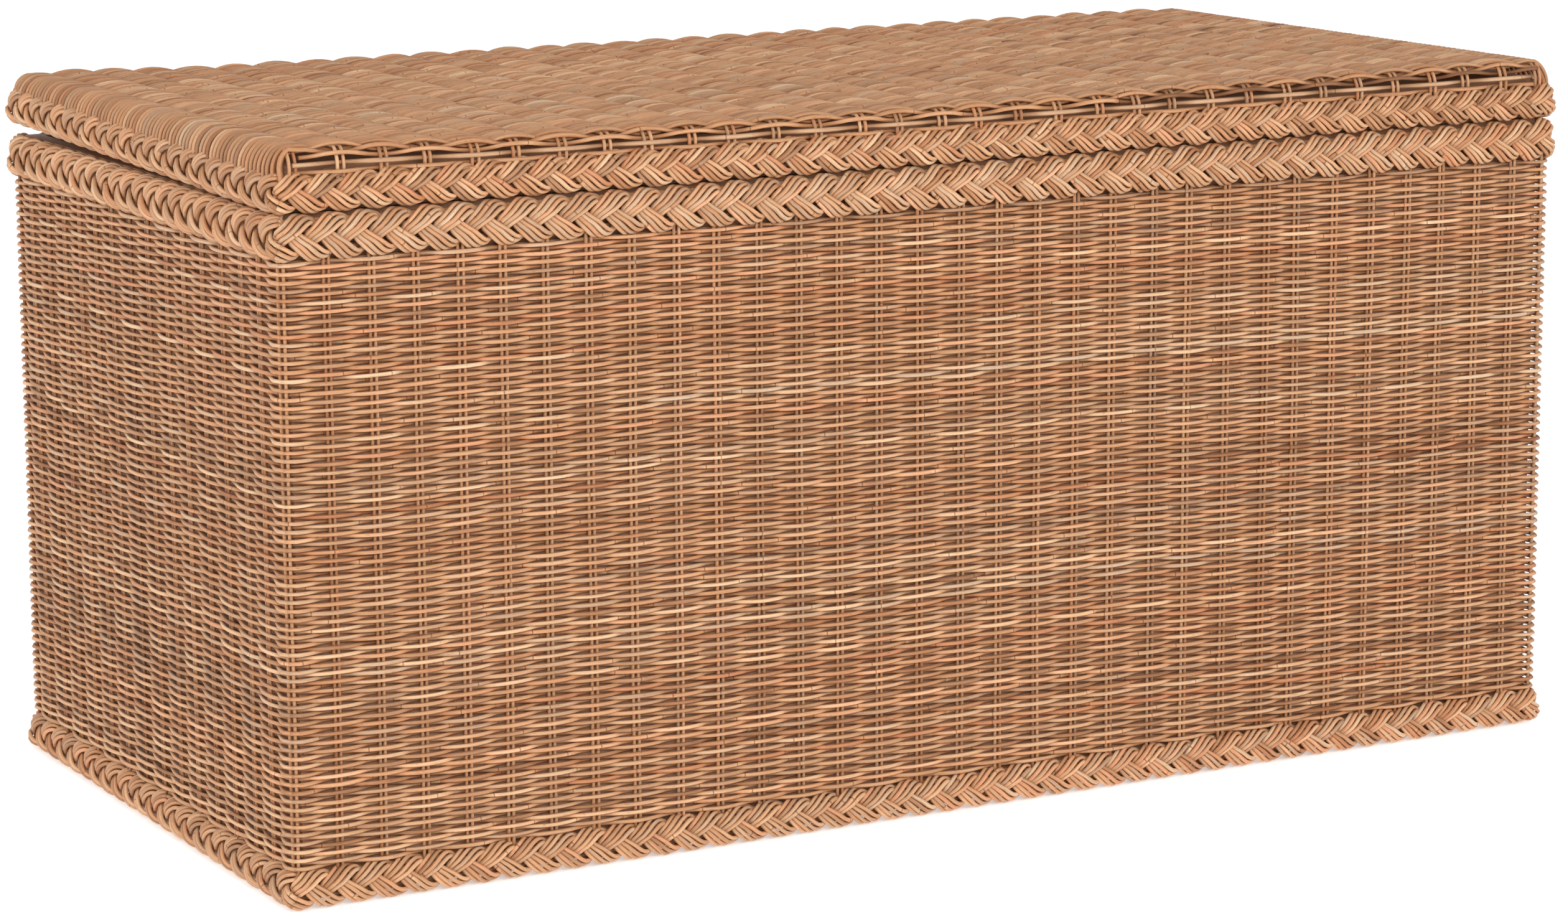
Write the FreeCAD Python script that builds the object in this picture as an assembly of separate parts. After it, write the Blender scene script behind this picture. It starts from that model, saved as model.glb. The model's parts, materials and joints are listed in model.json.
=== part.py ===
"""Wicker storage trunk with a hinged lid, one STEP file per piece.

Millimetres, +Z up, +X along the trunk, front at -Y. The origin is on the floor under the middle.
The chest is woven walls on canes, three plaited borders, and inside them thin lining boards on a wooden frame.
The lid is built level and then leans forward on its hinges until its front border meets the rim.
"""

import FreeCAD, Part
import math
import os

from FreeCAD import Vector

# Overall size, measured over the plaited borders
TRUNK_LENGTH = 1000.0
TRUNK_DEPTH = 498.0
RIM_HEIGHT = 446.0
LID_THICKNESS = 37.0

# Cane: single weavers worked round pairs of thicker canes
WEAVER = 2.7
CANE = 2.4
CANE_SPREAD = 3.6
WEAVE = CANE + 2 * WEAVER
FRONT_SPACES = 32
END_SPACES = 15
LID_SPACES = 31
FIT = 0.05

# Plaited borders
PLAIT_THICKNESS = 15.0
PLAIT_EDGE_RADIUS = 5.0
PLAIT_CORNER_RADIUS = 12.0
BASE_PLAIT_HEIGHT = 26.0
RIM_PLAIT_HEIGHT = 29.0
LID_PLAIT_HEIGHT = 24.0

# Woven walls, floor and lid shell
WALL_INSET = 4.5
WALL_CORNER_RADIUS = 12.0
FLOOR_HEIGHT = 2.0
LID_INSET = 5.0
LID_CORNER_RADIUS = 18.0
LID_CANE_MARGIN = 19.0

# Wooden frame
RAIL = 18.0
BOARD = 10.0
RIM_BOARD_HEIGHT = 60.0
LID_BAR_WIDTH = 24.0
LID_BAR_HEIGHT = 12.0
LID_BAR_SPREAD = 310.0
LID_LINING = 3.0

# Hinges
HINGE_SPREAD = 330.0
HINGE_WIDTH = 60.0
HINGE_INSET = 6.0
HINGE_GAP = 8.0
KNUCKLES = 5
KNUCKLE_RADIUS = 3.6
KNUCKLE_CLEARANCE = 0.4
PIN_RADIUS = 1.75
LEAF = 1.4
LEAF_INSET = 26.0
SCREW_INSET = 22.0
SCREW_SPREAD = 20.0
SCREW_RADIUS = 1.5
SCREW_HEAD_RADIUS = 2.7
SCREW_HEAD_HEIGHT = 1.2
SCREW_LENGTH = 14.0
LID_CLEARANCE = 0.3

# Worked out from the sizes above
HALF_LENGTH = TRUNK_LENGTH / 2
HALF_DEPTH = TRUNK_DEPTH / 2
RIM_PLAIT_BOTTOM = RIM_HEIGHT - RIM_PLAIT_HEIGHT
LID_BOTTOM = RIM_HEIGHT + HINGE_GAP
LID_PLAIT_TOP = LID_BOTTOM + LID_PLAIT_HEIGHT
LID_TOP = LID_BOTTOM + LID_THICKNESS
LID_EDGE_RADIUS = LID_TOP - LID_PLAIT_TOP
LID_UNDERSIDE = LID_TOP - WEAVE
LID_BOARD_INSET = LID_INSET + LID_EDGE_RADIUS
FLOOR_TOP = FLOOR_HEIGHT + WEAVE
FRAME_INSET = PLAIT_THICKNESS
LINING_INSET = WALL_INSET + WEAVE + FIT
WALL_TURN = WALL_INSET + WALL_CORNER_RADIUS
RIM_BOARD_BOTTOM = RIM_HEIGHT - RIM_BOARD_HEIGHT
WALL_MIDDLE = WALL_INSET + WEAVE / 2
CANE_SPACING = (TRUNK_LENGTH - 2 * WALL_MIDDLE) / FRONT_SPACES
END_SPACING = (TRUNK_DEPTH - 2 * WALL_MIDDLE) / END_SPACES
LID_SPACING = (TRUNK_LENGTH - 2 * LID_CANE_MARGIN) / LID_SPACES
HINGE_Y = HALF_DEPTH - HINGE_INSET
HINGE_Z = RIM_HEIGHT + HINGE_GAP / 2
HINGE_PLACES = (-HINGE_SPREAD, 0.0, HINGE_SPREAD)
LID_REACH = HINGE_Y + HALF_DEPTH - PLAIT_EDGE_RADIUS
LID_LEAN = math.degrees(math.asin((HINGE_GAP - LID_CLEARANCE) / LID_REACH))

X_AXIS = Vector(1, 0, 0)
Y_AXIS = Vector(0, 1, 0)
Z_AXIS = Vector(0, 0, 1)


def box(x, y, z):
    """A box from three (low, high) pairs."""
    corner = Vector(x[0], y[0], z[0])
    return Part.makeBox(x[1] - x[0], y[1] - y[0], z[1] - z[0], corner)


def edges_along_z(shape):
    """The straight upright edges of a block."""
    return [e for e in shape.Edges if abs(e.tangentAt(e.FirstParameter).z) > 0.99]


def edges_at_height(shape, height):
    """The edges that lie in one level plane."""
    return [e for e in shape.Edges if e.BoundBox.ZLength < 1e-4 and abs(e.BoundBox.ZMin - height) < 1e-4]


def block(inset, bottom, top, corner_radius=0.0, top_radius=0.0, bottom_radius=0.0):
    """A block as large as the trunk less an inset, with rounded corners in plan and rounded edges."""
    x = HALF_LENGTH - inset
    y = HALF_DEPTH - inset
    shape = box((-x, x), (-y, y), (bottom, top))
    if corner_radius:
        shape = shape.makeFillet(corner_radius, edges_along_z(shape))
    if top_radius:
        shape = shape.makeFillet(top_radius, edges_at_height(shape, top))
    if bottom_radius:
        shape = shape.makeFillet(bottom_radius, edges_at_height(shape, bottom))
    return shape


def rod(place, direction, length, radius):
    """A round rod from a point along a direction."""
    return Part.makeCylinder(radius, length, place, direction)


def slot(place, direction, across, length):
    """The flat-sided tunnel, round at its two edges, in which a pair of canes lies."""
    radius = CANE / 2
    side = direction.cross(across)
    low = place - across * (CANE_SPREAD / 2)
    high = place + across * (CANE_SPREAD / 2)
    line_up = Part.LineSegment(low + side * radius, high + side * radius)
    end_high = Part.Arc(high + side * radius, high + across * radius, high - side * radius)
    line_down = Part.LineSegment(high - side * radius, low - side * radius)
    end_low = Part.Arc(low - side * radius, low - across * radius, low + side * radius)
    outline = Part.Wire([c.toShape() for c in (line_up, end_high, line_down, end_low)])
    return Part.Face(outline).extrude(direction * length)


def cane_pair(place, direction, across, length):
    """The two canes of one pair, side by side."""
    sides = (-CANE_SPREAD / 2, CANE_SPREAD / 2)
    return [rod(place + across * s, direction, length, CANE / 2 - FIT) for s in sides]


def weave_round(shape, pairs, direction, length):
    """A woven panel with its canes' tunnels cut through it, and the canes themselves."""
    tunnels = [slot(place, direction, across, length) for place, across in pairs]
    canes = [c for place, across in pairs for c in cane_pair(place, direction, across, length)]
    return shape.cut(Part.Compound(tunnels)), Part.Compound(canes)


def mitred(ring, bottom, top):
    """The four straight runs of a border ring, cut at 45 degrees through its corners."""
    reach = 2 * PLAIT_CORNER_RADIUS
    long_out, long_in = HALF_LENGTH, HALF_LENGTH - reach
    deep_out, deep_in = HALF_DEPTH, HALF_DEPTH - reach
    plans = {
        "front": ((-long_out, -deep_out), (long_out, -deep_out), (long_in, -deep_in), (-long_in, -deep_in)),
        "back": ((-long_out, deep_out), (long_out, deep_out), (long_in, deep_in), (-long_in, deep_in)),
        "left": ((-long_out, -deep_out), (-long_out, deep_out), (-long_in, deep_in), (-long_in, -deep_in)),
        "right": ((long_out, -deep_out), (long_out, deep_out), (long_in, deep_in), (long_in, -deep_in)),
    }
    runs = {}
    for side, plan in plans.items():
        corners = [Vector(x, y, bottom) for x, y in plan]
        outline = Part.makePolygon(corners + corners[:1])
        runs[side] = ring.common(Part.Face(outline).extrude(Z_AXIS * (top - bottom)))
    return runs


def border(bottom, height):
    """A plaited border: four runs with rounded outer edges."""
    top = bottom + height
    outer = block(0, bottom, top, PLAIT_CORNER_RADIUS, PLAIT_EDGE_RADIUS, PLAIT_EDGE_RADIUS)
    return mitred(outer.cut(block(PLAIT_THICKNESS, bottom, top)), bottom, top)


def wall_pairs():
    """Where the upright cane pairs stand, as (place, direction across the pair), for each wall."""
    z = BASE_PLAIT_HEIGHT
    x_out = HALF_LENGTH - WALL_MIDDLE
    y_out = HALF_DEPTH - WALL_MIDDLE
    bend = WALL_CORNER_RADIUS - WEAVE / 2
    corner_x = x_out - bend * (1 - math.sqrt(0.5))
    corner_y = y_out - bend * (1 - math.sqrt(0.5))
    pairs = {"left": [], "right": [], "front": [], "back": []}
    for side, y, turn in (("front", -1, 1), ("back", 1, -1)):
        for i in range(1, FRONT_SPACES):
            pairs[side].append((Vector(-x_out + i * CANE_SPACING, y * y_out, z), X_AXIS))
        for x in (-1, 1):
            across = Vector(1, x * turn, 0).normalize()
            pairs[side].append((Vector(x * corner_x, y * corner_y, z), across))
    for side, x in (("left", -1), ("right", 1)):
        for i in range(1, END_SPACES):
            pairs[side].append((Vector(x * x_out, -y_out + i * END_SPACING, z), Y_AXIS))
    return pairs


def walls():
    """The four woven walls. The long ones carry the rounded corners."""
    bottom, top = BASE_PLAIT_HEIGHT, RIM_PLAIT_BOTTOM
    outer = block(WALL_INSET, bottom, top, WALL_CORNER_RADIUS)
    inner = block(WALL_INSET + WEAVE, bottom, top, WALL_CORNER_RADIUS - WEAVE)
    ring = outer.cut(inner)
    x, y, z = (-HALF_LENGTH, HALF_LENGTH), HALF_DEPTH - WALL_TURN, (bottom, top)
    cutters = {
        "front": box(x, (-HALF_DEPTH, -y), z),
        "back": box(x, (y, HALF_DEPTH), z),
        "left": box((-HALF_LENGTH, -HALF_LENGTH + WALL_TURN), (-y, y), z),
        "right": box((HALF_LENGTH - WALL_TURN, HALF_LENGTH), (-y, y), z),
    }
    nodes = {}
    for side, pairs in wall_pairs().items():
        woven, canes = weave_round(ring.common(cutters[side]), pairs, Z_AXIS, top - bottom)
        nodes[side + "_weave"] = woven
        nodes[side + "_canes"] = canes
    return nodes


def floor():
    """The woven floor, inside the base border."""
    y = HALF_DEPTH - FRAME_INSET
    middle = FLOOR_HEIGHT + WEAVE / 2
    first = -HALF_LENGTH + LID_CANE_MARGIN + LID_SPACING / 2
    places = [Vector(first + i * LID_SPACING, -y, middle) for i in range(LID_SPACES)]
    woven, canes = weave_round(
        block(FRAME_INSET, FLOOR_HEIGHT, FLOOR_TOP), [(p, X_AXIS) for p in places], Y_AXIS, 2 * y
    )
    return {"floor_weave": woven, "floor_canes": canes}


def lining():
    """Thin boards between the woven walls and the frame. They stop short of the rounded corners."""
    z = (BASE_PLAIT_HEIGHT, RIM_PLAIT_BOTTOM)
    x_end, y_end = HALF_LENGTH - WALL_TURN, HALF_DEPTH - WALL_TURN
    nodes = {}
    for side, y in (("front", -1), ("back", 1)):
        faces = sorted((y * (HALF_DEPTH - LINING_INSET), y * (HALF_DEPTH - FRAME_INSET)))
        nodes["lining_" + side] = box((-x_end, x_end), faces, z)
    for side, x in (("left", -1), ("right", 1)):
        faces = sorted((x * (HALF_LENGTH - LINING_INSET), x * (HALF_LENGTH - FRAME_INSET)))
        nodes["lining_" + side] = box(faces, (-y_end, y_end), z)
    return nodes


def frame():
    """The wooden frame: floor rails, corner posts and the boards behind the rim border."""
    x_out, y_out = HALF_LENGTH - FRAME_INSET, HALF_DEPTH - FRAME_INSET
    rail_top = FLOOR_TOP + RAIL
    nodes = {}
    for side, y in (("front", -1), ("back", 1)):
        rail_y = sorted((y * y_out, y * (y_out - RAIL)))
        board_y = sorted((y * y_out, y * (y_out - BOARD)))
        nodes["floor_rail_" + side] = box((-x_out, x_out), rail_y, (FLOOR_TOP, rail_top))
        nodes["rim_board_" + side] = box((-x_out, x_out), board_y, (RIM_BOARD_BOTTOM, RIM_HEIGHT))
    for side, x in (("left", -1), ("right", 1)):
        rail_x = sorted((x * x_out, x * (x_out - RAIL)))
        board_x = sorted((x * x_out, x * (x_out - BOARD)))
        rail_y, board_y = y_out - RAIL, y_out - BOARD
        nodes["floor_rail_" + side] = box(rail_x, (-rail_y, rail_y), (FLOOR_TOP, rail_top))
        nodes["rim_board_" + side] = box(board_x, (-board_y, board_y), (RIM_BOARD_BOTTOM, RIM_HEIGHT))
        for end, y in (("front", -1), ("back", 1)):
            post_y = sorted((y * y_out, y * (y_out - RAIL)))
            nodes["corner_post_" + end + "_" + side] = box(rail_x, post_y, (rail_top, RIM_BOARD_BOTTOM))
    return nodes


def lid_shell():
    """The woven lid: a top panel and four bands that turn down into the lid border."""
    outer = block(LID_INSET, LID_BOTTOM, LID_TOP, LID_CORNER_RADIUS, LID_EDGE_RADIUS)
    inner = block(
        LID_INSET + WEAVE, LID_BOTTOM, LID_UNDERSIDE, LID_CORNER_RADIUS - WEAVE, LID_EDGE_RADIUS - WEAVE
    )
    shell = outer.cut(inner)
    x, y = HALF_LENGTH - LID_BOARD_INSET, HALF_DEPTH - LID_BOARD_INSET
    z = (LID_PLAIT_TOP, LID_TOP)
    first = -HALF_LENGTH + LID_CANE_MARGIN
    places = [Vector(first + i * LID_SPACING, -y, LID_TOP - WEAVE / 2) for i in range(1, LID_SPACES)]
    top = shell.common(box((-x, x), (-y, y), z))
    woven, canes = weave_round(top, [(p, X_AXIS) for p in places], Y_AXIS, 2 * y)
    return {
        "lid_top_weave": woven,
        "lid_canes": canes,
        "lid_band_front": shell.common(box((-x, x), (-HALF_DEPTH, -y), z)),
        "lid_band_back": shell.common(box((-x, x), (y, HALF_DEPTH), z)),
        "lid_end_left": shell.common(box((-HALF_LENGTH, -x), (-HALF_DEPTH, HALF_DEPTH), z)),
        "lid_end_right": shell.common(box((x, HALF_LENGTH), (-HALF_DEPTH, HALF_DEPTH), z)),
    }


def lid_frame():
    """Boards on edge round the inside of the lid, two flat bars across it and a thin lining board on the bars."""
    x_out, y_out = HALF_LENGTH - LID_BOARD_INSET, HALF_DEPTH - LID_BOARD_INSET
    x_in, y_in = x_out - BOARD, y_out - BOARD
    z = (LID_BOTTOM, LID_UNDERSIDE)
    bar_bottom = LID_UNDERSIDE - LID_BAR_HEIGHT
    nodes = {"lid_lining": box((-x_in, x_in), (-y_in, y_in), (bar_bottom - LID_LINING, bar_bottom))}
    for side, y in (("front", -1), ("back", 1)):
        nodes["lid_board_" + side] = box((-x_out, x_out), sorted((y * y_out, y * y_in)), z)
    for side, x in (("left", -1), ("right", 1)):
        nodes["lid_board_" + side] = box(sorted((x * x_out, x * x_in)), (-y_in, y_in), z)
        bar_x = (x * LID_BAR_SPREAD / 2 - LID_BAR_WIDTH / 2, x * LID_BAR_SPREAD / 2 + LID_BAR_WIDTH / 2)
        nodes["lid_bar_" + side] = box(bar_x, (-y_in, y_in), (bar_bottom, LID_UNDERSIDE))
    return nodes


def leaf(owner, plate_bottom):
    """One leaf at x = 0: its plate and every second knuckle, bored for the pin and the screws."""
    plate_y = (HALF_DEPTH - LEAF_INSET, HINGE_Y - KNUCKLE_RADIUS - KNUCKLE_CLEARANCE)
    plate_z = (plate_bottom, plate_bottom + LEAF)
    half = HINGE_WIDTH / 2
    pitch = HINGE_WIDTH / KNUCKLES
    shape = box((-half, half), plate_y, plate_z)
    for i in range(owner, KNUCKLES, 2):
        start = -half + i * pitch + KNUCKLE_CLEARANCE / 2
        length = pitch - KNUCKLE_CLEARANCE
        barrel = rod(Vector(start, HINGE_Y, HINGE_Z), X_AXIS, length, KNUCKLE_RADIUS)
        web = box((start, start + length), (plate_y[1], HINGE_Y), plate_z)
        shape = shape.fuse([barrel, web])
    bore = rod(Vector(-half, HINGE_Y, HINGE_Z), X_AXIS, HINGE_WIDTH, PIN_RADIUS + FIT)
    return shape.cut(bore).removeSplitter()


def screw(x, head_top, down, slack=0.0):
    """A countersunk screw. With slack it is the hole that such a screw goes through."""
    place = Vector(x, HALF_DEPTH - SCREW_INSET, head_top)
    way = Vector(0, 0, -1 if down else 1)
    head = Part.makeCone(SCREW_HEAD_RADIUS + slack, SCREW_RADIUS + slack, SCREW_HEAD_HEIGHT, place, way)
    return head.fuse(rod(place, way, SCREW_LENGTH + slack, SCREW_RADIUS + slack)).removeSplitter()


def hinge_set(middle, nodes):
    """One hinge: two leaves, a pin and the screws, which are also drilled into the two back boards."""
    shift = X_AXIS * middle
    half = HINGE_WIDTH / 2
    pin = rod(Vector(middle - half, HINGE_Y, HINGE_Z), X_AXIS, HINGE_WIDTH, PIN_RADIUS)
    nodes["hinge_pins"].append(pin)
    chest_side = ("chest", "rim_board_back", 0, RIM_HEIGHT, RIM_HEIGHT + LEAF, True)
    lid_side = ("lid", "lid_board_back", 1, LID_BOTTOM - LEAF, LID_BOTTOM - LEAF, False)
    for body, board, owner, plate_bottom, head_top, down in (chest_side, lid_side):
        places = [middle + s for s in (-SCREW_SPREAD, 0.0, SCREW_SPREAD)]
        holes = Part.Compound([screw(x, head_top, down, FIT) for x in places])
        plate = leaf(owner, plate_bottom)
        plate.translate(shift)
        nodes[body + "_hinge_leaves"].append(plate.cut(holes))
        nodes[body + "_hinge_screws"] += [screw(x, head_top, down) for x in places]
        nodes[board] = nodes[board].cut(holes)


def lean(shape):
    """A lid piece as it rests: turned about the hinge pins until the front border meets the rim."""
    leaned = shape.copy()
    leaned.rotate(Vector(0, HINGE_Y, HINGE_Z), X_AXIS, LID_LEAN)
    return leaned


def build():
    """Every node by name."""
    nodes = {}
    nodes.update(walls())
    nodes.update(floor())
    nodes.update(lining())
    nodes.update(frame())
    nodes.update(lid_shell())
    nodes.update(lid_frame())
    for name, bottom, height in (
        ("base_plait_", 0.0, BASE_PLAIT_HEIGHT),
        ("rim_plait_", RIM_PLAIT_BOTTOM, RIM_PLAIT_HEIGHT),
        ("lid_plait_", LID_BOTTOM, LID_PLAIT_HEIGHT),
    ):
        nodes.update({name + side: run for side, run in border(bottom, height).items()})
    groups = ("hinge_pins", "chest_hinge_leaves", "lid_hinge_leaves", "chest_hinge_screws", "lid_hinge_screws")
    nodes.update({name: [] for name in groups})
    for middle in HINGE_PLACES:
        hinge_set(middle, nodes)
    nodes.update({name: Part.Compound(nodes[name]) for name in groups})
    return {name: lean(s) if name.startswith("lid_") else s for name, s in nodes.items()}


def main():
    os.makedirs("parts", exist_ok=True)
    for name, shape in build().items():
        solids = shape.Solids
        piece = solids[0] if len(solids) == 1 else Part.Compound(solids)
        piece.exportStep(os.path.join("parts", name + ".step"))
        box_mm = piece.BoundBox
        print(f"{name:28s} {len(solids):3d} solids  z {box_mm.ZMin:7.2f} to {box_mm.ZMax:7.2f}")


main()
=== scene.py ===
import json
import math

import bpy
import numpy as np
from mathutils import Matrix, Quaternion, Vector


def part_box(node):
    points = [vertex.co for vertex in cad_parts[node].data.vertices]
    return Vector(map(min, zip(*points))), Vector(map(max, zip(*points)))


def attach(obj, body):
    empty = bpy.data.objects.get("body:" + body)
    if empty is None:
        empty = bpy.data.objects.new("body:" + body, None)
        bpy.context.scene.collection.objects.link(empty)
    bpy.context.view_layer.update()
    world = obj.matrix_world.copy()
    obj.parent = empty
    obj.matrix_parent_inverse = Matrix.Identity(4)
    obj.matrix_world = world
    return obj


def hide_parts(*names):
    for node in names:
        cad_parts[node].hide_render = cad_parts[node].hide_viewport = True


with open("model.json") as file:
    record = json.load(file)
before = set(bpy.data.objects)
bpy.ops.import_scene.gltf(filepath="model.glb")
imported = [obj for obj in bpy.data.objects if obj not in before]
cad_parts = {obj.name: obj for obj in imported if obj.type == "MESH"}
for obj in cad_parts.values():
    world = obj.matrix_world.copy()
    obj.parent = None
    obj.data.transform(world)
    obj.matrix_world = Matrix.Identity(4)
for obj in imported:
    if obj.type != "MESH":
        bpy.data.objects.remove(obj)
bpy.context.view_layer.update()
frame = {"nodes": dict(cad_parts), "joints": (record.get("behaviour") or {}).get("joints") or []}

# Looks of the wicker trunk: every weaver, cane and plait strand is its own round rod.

RNG = np.random.default_rng(20)
MM = 0.001
SIDES = ("front", "right", "back", "left")
UP = np.array([[0.0, 0.0, 1.0]])

# Canes and rows, in metres
WEAVER_RADIUS = 1.33 * MM
CANE_RADIUS = 1.2 * MM
CANE_SPREAD = 3.6 * MM
WEAVE_AMPLITUDE = WEAVER_RADIUS + CANE_RADIUS
CROSSING_SHARPNESS = 0.85
WALL_ROW_PITCH = 2.81 * MM
LID_ROW_PITCH = 2.96 * MM
FLOOR_ROW_PITCH = 2.90 * MM
FRONT_SPACES = 32
END_SPACES = 15
LID_SPACES = 31
SAMPLES_PER_SPACE = 6
FLOOR_SAMPLES_PER_SPACE = 4
WEAVER_SIDES = 6
FLOOR_WEAVER_SIDES = 5
WALL_CORNER_RADIUS = 12 * MM

# Cut ends of the wall rods: the share on show, how much paler they are, and how far their last points move in
SHOWN_ENDS = 0.4
CUT_FACE_TONE = 0.35
START_SHOWN = -0.5 * MM
START_TUCKED = np.array([[1.6], [1.3], [0.5]]) * MM
STOP_SHOWN = -0.3 * MM
STOP_TUCKED = np.array([[0.4], [0.9], [1.1]]) * MM

# Plaits: three flat strands of several rods. A strand is on show for PLAIT_CREST of each half turn.
CHEVRON_PITCH = 22 * MM
PLAIT_RODS = 4
PLAIT_ROD_RADIUS = 1.45 * MM
PLAIT_ROD_SPACING = 2.75 * MM
PLAIT_DEPTH = 3.6 * MM
PLAIT_ARCH = 1.0 * MM
PLAIT_ROLL = 7.0 * MM
PLAIT_CORNER_RADIUS = 12 * MM
PLAIT_CREST = 0.80
PLAIT_EASE = 0.62
PLAIT_BLUR = 0.030
PATH_STEPS = 720
CUT_TAPER = 0.72
PLAIT_STEPS = 28
PLAIT_SIDES = 6
PLAIT_MARGIN = 1.5 * MM
PLAIT_TRIM = 1.5 * MM
RIM_PLAIT_SWING = 14.4 * MM
LID_PLAIT_SWING = 13.0 * MM
LID_PLAIT_LIFT = 1.0 * MM
BASE_PLAIT_SWING = 13.2 * MM
BASE_PLAIT_TRIM = 2.4 * MM
BASE_PLAIT_LIFT = 0.5 * MM
BASE_PLAIT_FLARE = 1.5 * MM
CORE_RADIUS = 1.9 * MM
CORE_INSET = 13.0 * MM
CORE_CORNER_RADIUS = 3 * MM
CORE_BOTTOM_GAP = 5.0 * MM
CORE_TOP_GAP = 3.2 * MM
CORE_OVERLAP = 10 * MM
CORE_RODS = 4
CORE_STEPS = 240
CORE_TONE, CORE_HUE = 0.50, 0.45

# Lid
LID_HALF_WEAVE = 3.9 * MM
LID_CANE_MARGIN = 14 * MM
LID_CORNER_RADIUS = 18 * MM
LID_END_BEND = 11.1 * MM
LID_BAND_BEND = 6.0 * MM
LID_END_RELIEF = 1.7 * MM
LID_SAG = 3.5 * MM
LID_LEFT_RISE = 3.5 * MM
LID_LEFT_RISE_START, LID_LEFT_RISE_RUN = 0.34, 0.12
LID_RIGHT_RISE = 3.5 * MM
LID_RIGHT_RISE_RUN = 0.48
LID_EDGE_FADE = (0.55, 0.68, 0.83, 0.94)
FAN_START, FAN_RUN, FAN_REACH = 0.17, 0.066, 5.0 * MM
TAIL_HIDDEN, TAIL_TIP, TAIL_LEAN = 4 * MM, 9 * MM, 1.5 * MM
TAIL_TOP_TONE, TAIL_LOW_TONE = -0.03, -0.12
BAND_ROW_GAPS = (2.4 * MM, 5.2 * MM, 8.8 * MM, 12.4 * MM, 15.4 * MM)


def node_span(name, axis):
    low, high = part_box(name)
    return low[axis], high[axis]


# ---------------------------------------------------------------- rods

class Bundle:
    """Collects round rods and makes them into one mesh."""

    def __init__(self):
        self.parts = []

    def add(self, points, tangents, ups, radii, along, tone, hue, shade_depth, sides=WEAVER_SIDES):
        """One rod. points, tangents and ups are (N, 3). The others are (N,) or one number."""
        fill = np.ones(len(points))
        looks = tone * fill, hue * fill, shade_depth * fill
        self.parts.append((points, tangents, ups, radii * fill, along, *looks, sides))

    def mesh(self, name, material):
        corners, sizes, verts, strand, tone_and_shade, smooth = [], [], [], [], [], []
        base = 0
        for points, tangents, ups, radii, along, tone, hue, shade_depth, sides in self.parts:
            n = len(points)
            t = tangents / np.linalg.norm(tangents, axis=1, keepdims=True)
            s = np.cross(t, ups)
            s /= np.linalg.norm(s, axis=1, keepdims=True)
            u = np.cross(s, t)
            angle = np.arange(sides) * 2 * math.pi / sides
            c, d = np.cos(angle), np.sin(angle)
            ring = s[:, None] * c[None, :, None] + u[:, None] * d[None, :, None]
            verts.append((points[:, None] + ring * radii[:, None, None]).reshape(-1, 3))
            strand.append(np.stack([np.repeat(along, sides), np.tile(c, n), np.tile(d, n)], 1))
            tone_and_shade.append(np.stack([np.repeat(x, sides) for x in (tone, hue, shade_depth)], 1))
            i = np.arange(n - 1)[:, None] * sides
            j = np.arange(sides)[None]
            k = (j + 1) % sides
            quads = np.stack([i + j, i + sides + j, i + sides + k, i + k], -1).reshape(-1, 4) + base
            corners.append(quads.ravel())
            sizes.append(np.full(len(quads), 4))
            smooth.append(np.ones(len(quads), bool))
            for end in (0, n - 1):
                ring_ids = base + end * sides + np.arange(sides)
                corners.append(ring_ids if end == 0 else ring_ids[::-1])
                sizes.append(np.array([sides]))
                smooth.append(np.zeros(1, bool))
            base += n * sides
        verts, corners, sizes = np.concatenate(verts), np.concatenate(corners), np.concatenate(sizes)
        mesh = bpy.data.meshes.new(name)
        mesh.vertices.add(len(verts))
        mesh.vertices.foreach_set("co", verts.astype(np.float32).ravel())
        mesh.loops.add(len(corners))
        mesh.loops.foreach_set("vertex_index", corners.astype(np.int32))
        mesh.polygons.add(len(sizes))
        starts = np.concatenate([[0], np.cumsum(sizes)[:-1]])
        mesh.polygons.foreach_set("loop_start", starts.astype(np.int32))
        mesh.polygons.foreach_set("use_smooth", np.concatenate(smooth))
        for label, values in (("strand", strand), ("tone_and_shade", tone_and_shade)):
            layer = mesh.attributes.new(label, "FLOAT_VECTOR", "POINT")
            layer.data.foreach_set("vector", np.concatenate(values).astype(np.float32).ravel())
        mesh.update(calc_edges=True)
        mesh.materials.append(material)
        return mesh


def place(bundle, name, material, body, nodes):
    obj = bpy.data.objects.new(name, bundle.mesh(name, material))
    bpy.context.scene.collection.objects.link(obj)
    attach(obj, body)
    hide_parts(*nodes)


def slopes(points):
    """Direction along each rod of an open path."""
    return np.gradient(points, axis=-2)


def lengths(points):
    """Distance along an open path, in metres."""
    step = np.linalg.norm(np.diff(points, axis=0), axis=1)
    return np.concatenate([[0], np.cumsum(step)])


def smooth_noise(at, period, size, rng):
    """A smooth wave of random height, one draw every period along at."""
    knots = np.arange(at.min() - period, at.max() + 2 * period, period)
    heights = rng.uniform(-size, size, len(knots))
    place_in = (at - knots[0]) / period
    i = np.clip(place_in.astype(int), 0, len(knots) - 2)
    f = place_in - i
    f = f * f * (3 - 2 * f)
    return heights[i] * (1 - f) + heights[i + 1] * f


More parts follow.
